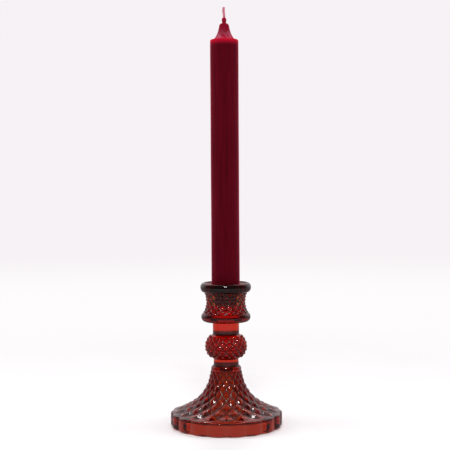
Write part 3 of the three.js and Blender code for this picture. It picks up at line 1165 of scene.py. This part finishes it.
@dataclass(frozen=True)
class Softbox:
    """A square lamp that faces the middle of the object, with its place and side in metres."""

    name: str
    place: tuple[float, float, float]
    side: float
    watts: float
    glints: bool = True
    aim: tuple[float, float, float] = (0.0, 0.0, 0.15)

    def build(self) -> None:
        """Hangs the lamp. The glass mirrors it if it has glints, but never shows it on its far side."""
        data = bpy.data.lights.new(self.name, "AREA")
        data.shape = "SQUARE"
        data.size = self.side
        data.energy = self.watts
        lamp = bpy.data.objects.new(self.name, data)
        lamp.location = self.place
        lamp.visible_glossy = self.glints
        lamp.visible_transmission = False
        lamp.rotation_mode = "QUATERNION"
        lamp.rotation_quaternion = (Vector(self.aim) - Vector(self.place)).to_track_quat("-Z", "Y")
        bpy.context.scene.collection.objects.link(lamp)


@dataclass
class Studio:
    """Pale floor, soft lamps, the surroundings that the glass shows, and the camera.

    Distances are in metres. A stretch says where a tone starts and ends, on the floor or along a unit
    direction, and how bright it is there. The side lamps light wax and floor, and the glass hides them.
    """

    lens_mm: float = 88.0
    sensor_mm: float = 36.0
    pitch_deg: float = 2.57
    roll_deg: float = 0.36
    camera_distance: float = 0.8542
    camera_height: float = 0.1953

    floor_rings: tuple[float, ...] = (3.0, 1.0, 0.4, 0.15, 0.05)
    floor_sides: int = 96
    floor_drop: float = 0.00006
    floor_grain_mm: float = 83.333
    floor_dark_hex: str = "f6f2f4"
    floor_light_hex: str = "f9f6f8"
    floor_hex: str = "fefcfd"
    # A dim red painted shadow under the foot, as the glass shows the floor.
    painted_shadow_hex: str = "925667"
    painted_shadow_edge: tuple[float, float] = (0.034, 0.045)
    fade: tuple[float, float] = (0.12, 0.6)
    sweep: tuple[float, float] = (0.9, 2.0)
    # The floor that the glass passes is darker near the object, a painted shadow.
    floor_passed: Stretch = (0.045, 0.12, 0.25, 0.65)
    floor_mirrored: Stretch = (-0.4, -0.15, 0.6, 0.35)

    backdrop_hex: str = "f6f2f5"
    world_light: float = 0.45
    panel_count: float = 8.0
    panel: Stretch = (-0.7, 0.0, 0.03, 0.65)
    ceiling: Stretch = (0.15, 0.4, 1.0, 0.06)
    behind: Stretch = (0.1, 0.6, 0.08, 0.8)
    above: Stretch = (0.8, 0.95, 0.0, 0.8)
    above_towards: tuple[float, float, float] = (0.0, 0.4, 0.917)

    lamps: tuple[Softbox, ...] = (
        Softbox("key_softbox", (0.0, -0.65, 1.05), side=0.25, watts=5.5),
        Softbox("back_softbox", (0.0, 0.6, 1.1), side=0.3, watts=2.8),
        Softbox("left_softbox", (-0.8, 0.0, 0.4), side=0.5, watts=2.8, glints=False),
        Softbox("right_softbox", (0.8, 0.0, 0.4), side=0.5, watts=2.4, glints=False),
    )

    def camera(self) -> None:
        """Sets up the camera at the photograph's viewing angle."""
        data = bpy.data.cameras.new("camera")
        data.lens = self.lens_mm
        data.sensor_width = self.sensor_mm
        data.clip_start = 0.01
        data.clip_end = 50.0
        camera = bpy.data.objects.new("camera", data)
        camera.location = (0.0, -self.camera_distance, self.camera_height)
        camera.rotation_mode = "XYZ"
        camera.rotation_euler = (math.radians(90 - self.pitch_deg), math.radians(self.roll_deg), 0.0)
        bpy.context.scene.collection.objects.link(camera)
        bpy.context.scene.camera = camera

    def world(self) -> None:
        """White to the eye, bright panels and dark gaps in the glass, and even light elsewhere."""
        world = bpy.data.worlds.new("studio")
        world.use_nodes = True
        tree = world.node_tree
        tree.nodes.clear()
        camera = add_node(tree, "LightPath").outputs["Is Camera Ray"]
        in_glass, through = glass_rays(tree)
        seen = add_node(tree, "Math", {0: camera, 1: in_glass}, operation="MAXIMUM").outputs["Value"]
        levels = {0: through, 2: self.mirrors(tree), 3: self.panels(tree)}
        level = add_node(tree, "Mix", levels).outputs[0]
        shown = add_node(tree, "Math", {0: camera, 1: level}, operation="MAXIMUM").outputs["Value"]
        light = add_node(tree, "Background", {"Color": linear(WHITE), "Strength": self.world_light})
        backdrop = add_node(tree, "Background", {"Color": linear(self.backdrop_hex), "Strength": shown})
        sides = {0: seen, 1: light.outputs["Background"], 2: backdrop.outputs["Background"]}
        both = add_node(tree, "MixShader", sides).outputs["Shader"]
        add_node(tree, "OutputWorld", {"Surface": both})
        bpy.context.scene.world = world

    def panels(self, tree: Tree) -> Socket:
        """Brightness of the studio through the glass: upright panels with dark gaps, a dark ceiling.

        Args:
            tree: the world's node tree.

        Returns:
            The brightness in each direction.
        """
        direction = add_node(tree, "TexCoord").outputs["Generated"]
        parts = add_node(tree, "SeparateXYZ", {"Vector": direction}).outputs
        azimuth = add_node(tree, "Math", {0: parts["X"], 1: parts["Y"]}, operation="ARCTAN2")
        turns = {0: azimuth.outputs["Value"], 1: self.panel_count}
        turn = add_node(tree, "Math", turns, operation="MULTIPLY").outputs["Value"]
        wave = add_node(tree, "Math", {0: turn}, operation="COSINE").outputs["Value"]
        panel = add_node(tree, "MapRange", limits(wave, *self.panel), interpolation_type=SMOOTH)
        ceiling = add_node(tree, "MapRange", limits(parts["Z"], *self.ceiling), interpolation_type=SMOOTH)
        factors = {0: panel.outputs["Result"], 1: ceiling.outputs["Result"]}
        return add_node(tree, "Math", factors, operation="MULTIPLY").outputs["Value"]

    def mirrors(self, tree: Tree) -> Socket:
        """Brightness of the studio in mirror reflections: dim in front, bright behind and overhead.

        Args:
            tree: the world's node tree.

        Returns:
            The brightness in each direction.
        """
        direction = add_node(tree, "TexCoord").outputs["Generated"]
        depth = add_node(tree, "SeparateXYZ", {"Vector": direction}).outputs["Y"]
        behind = add_node(tree, "MapRange", limits(depth, *self.behind), interpolation_type=SMOOTH)
        towards = {0: direction, 1: self.above_towards}
        height = add_node(tree, "VectorMath", towards, operation="DOT_PRODUCT").outputs["Value"]
        above = add_node(tree, "MapRange", limits(height, *self.above), interpolation_type=SMOOTH)
        brightest = {0: behind.outputs["Result"], 1: above.outputs["Result"]}
        return add_node(tree, "Math", brightest, operation="MAXIMUM").outputs["Value"]

    def floor_in_glass(self, tree: Tree, place: Socket, distance: Socket, through: Socket) -> Socket:
        """Colour of the floor as the glass shows it: a dim red painted shadow under the foot, and round it a
        pale floor with a painted shadow that lightens outwards.

        Args:
            tree: the floor material's node tree.
            place: the point on the floor.
            distance: its distance from the object's axis, in metres.
            through: 1 where the glass passes the ray, 0 where it mirrors it.

        Returns:
            The colour's socket.
        """
        depth = add_node(tree, "SeparateXYZ", {"Vector": place}).outputs["Y"]
        levels = {
            0: through,
            2: add_node(tree, "MapRange", limits(depth, *self.floor_mirrored)).outputs["Result"],
            3: add_node(tree, "MapRange", limits(distance, *self.floor_passed)).outputs["Result"],
        }
        level = add_node(tree, "Mix", levels).outputs[0]
        pale = {0: linear(self.backdrop_hex)[:3], "Scale": level}
        bright = add_node(tree, "VectorMath", pale, operation="SCALE").outputs["Vector"]
        edge = add_node(tree, "MapRange", limits(distance, *self.painted_shadow_edge), interpolation_type=SMOOTH)
        colours = {0: edge.outputs["Result"], 6: linear(self.painted_shadow_hex), 7: bright}
        return add_node(tree, "Mix", colours, data_type="RGBA").outputs[2]

    def floor(self) -> None:
        """A pale floor that keeps the object's shadow, shows the glass a painted shadow, and fades into the
        backdrop.
        """
        rings = np.array([radius * circle(self.floor_sides) for radius in self.floor_rings])
        points = (np.concatenate([rings.reshape(-1, 3), [0 * UP]]) - self.floor_drop * UP) / MM
        number = np.arange(rings.shape[0] * rings.shape[1]).reshape(rings.shape[:2])
        faces = (band_faces(number[:-1], number[1:]), fan_faces(number[-1], number.size))
        floor = mesh_object("studio_floor", points, np.concatenate(faces))
        material, tree, place = new_material("pale_studio_floor")
        distance = add_node(tree, "VectorMath", {0: place}, operation="LENGTH").outputs["Value"]
        grains = {"Vector": place, "Scale": 1 / (self.floor_grain_mm * MM), "Detail": 2.0}
        tint = add_node(tree, "ValToRGB", {"Fac": add_node(tree, "TexNoise", grains).outputs["Fac"]})
        set_stops(tint, [(0.3, self.floor_dark_hex), (0.7, self.floor_light_hex)])
        paint = add_node(tree, "BsdfDiffuse", {"Color": tint.outputs["Color"]})
        sweep = add_node(tree, "MapRange", limits(distance, *self.sweep), interpolation_type=SMOOTH)
        colours = {0: sweep.outputs["Result"], 6: linear(self.floor_hex), 7: linear(self.backdrop_hex)}
        curve = add_node(tree, "Mix", colours, data_type="RGBA").outputs[2]
        glow = add_node(tree, "Emission", {"Color": curve, "Strength": 1.0})
        fade = add_node(tree, "MapRange", limits(distance, *self.fade), interpolation_type=SMOOTH)
        sides = {0: fade.outputs["Result"], 1: paint.outputs["BSDF"], 2: glow.outputs["Emission"]}
        plain = add_node(tree, "MixShader", sides).outputs["Shader"]
        in_glass, through = glass_rays(tree)
        # Painted shadow on the floor that the glass shows.
        floor_with_painted_shadow = self.floor_in_glass(tree, place, distance, through)
        seen = add_node(tree, "Emission", {"Color": floor_with_painted_shadow, "Strength": 1.0})
        shaders = {0: in_glass, 1: plain, 2: seen.outputs["Emission"]}
        whole = add_node(tree, "MixShader", shaders).outputs["Shader"]
        add_node(tree, "OutputMaterial", {"Surface": whole})
        floor.data.materials.append(material)

    def build(self) -> None:
        """Builds the whole studio."""
        self.camera()
        self.world()
        self.floor()
        for lamp in self.lamps:
            lamp.build()
        bpy.context.scene.view_settings.view_transform = "Standard"


def main() -> None:
    """Builds the object and the studio."""
    logging.basicConfig(level=logging.INFO, format="%(message)s")
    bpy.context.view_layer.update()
    for builder in (RubyCandlestick(RubyPressedGlass()), DinnerCandle(), BraidedWick()):
        piece = builder.build()
        LOG.info("%s: %d faces", piece.name, len(piece.data.polygons))
    Studio().build()
    bpy.context.view_layer.update()


if __name__ == "__main__":
    main()
